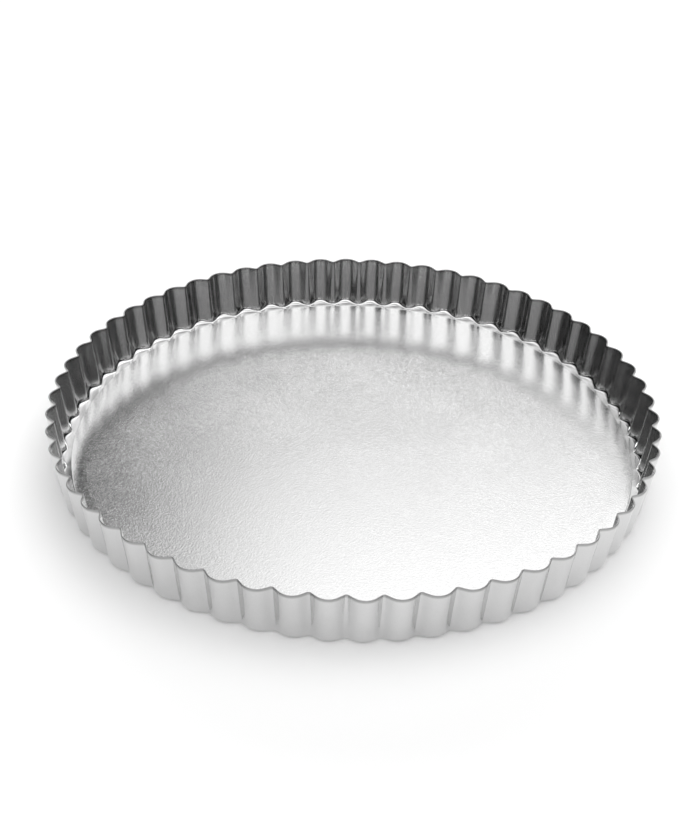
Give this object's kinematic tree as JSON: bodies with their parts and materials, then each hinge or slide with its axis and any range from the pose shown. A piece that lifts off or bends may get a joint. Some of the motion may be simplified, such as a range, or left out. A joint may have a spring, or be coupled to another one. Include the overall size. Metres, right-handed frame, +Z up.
{
  "type": "loose-base quiche tin",
  "caption": "Round fluted quiche tin: a drafted wall ring of upright flutes with an inward ledge, and a flat loose base disc that lies on it.",
  "frame": {"origin": "centre of the foot, on the surface that the tin stands on", "axes": "+Z up along the tin's axis; a flute's crest lies on each of +X, -X, +Y and -Y"},
  "size_m": [0.28, 0.28, 0.0255],
  "materials": {
    "ring_tinplate": "bright drawn tinplate, softly reflecting, with faint upright drawing marks",
    "base_tinplate": "satin tinplate with a fine even grain"
  },
  "bodies": {
    "ring": {"fluted_ring": "ring_tinplate"},
    "base": {"loose_base": "base_tinplate"}
  },
  "joints": [
    {"name": "base_lift", "type": "slide", "parent": "ring", "child": "base", "axis": [0, 0, 1], "range_m": [0, 0.04]}
  ]
}
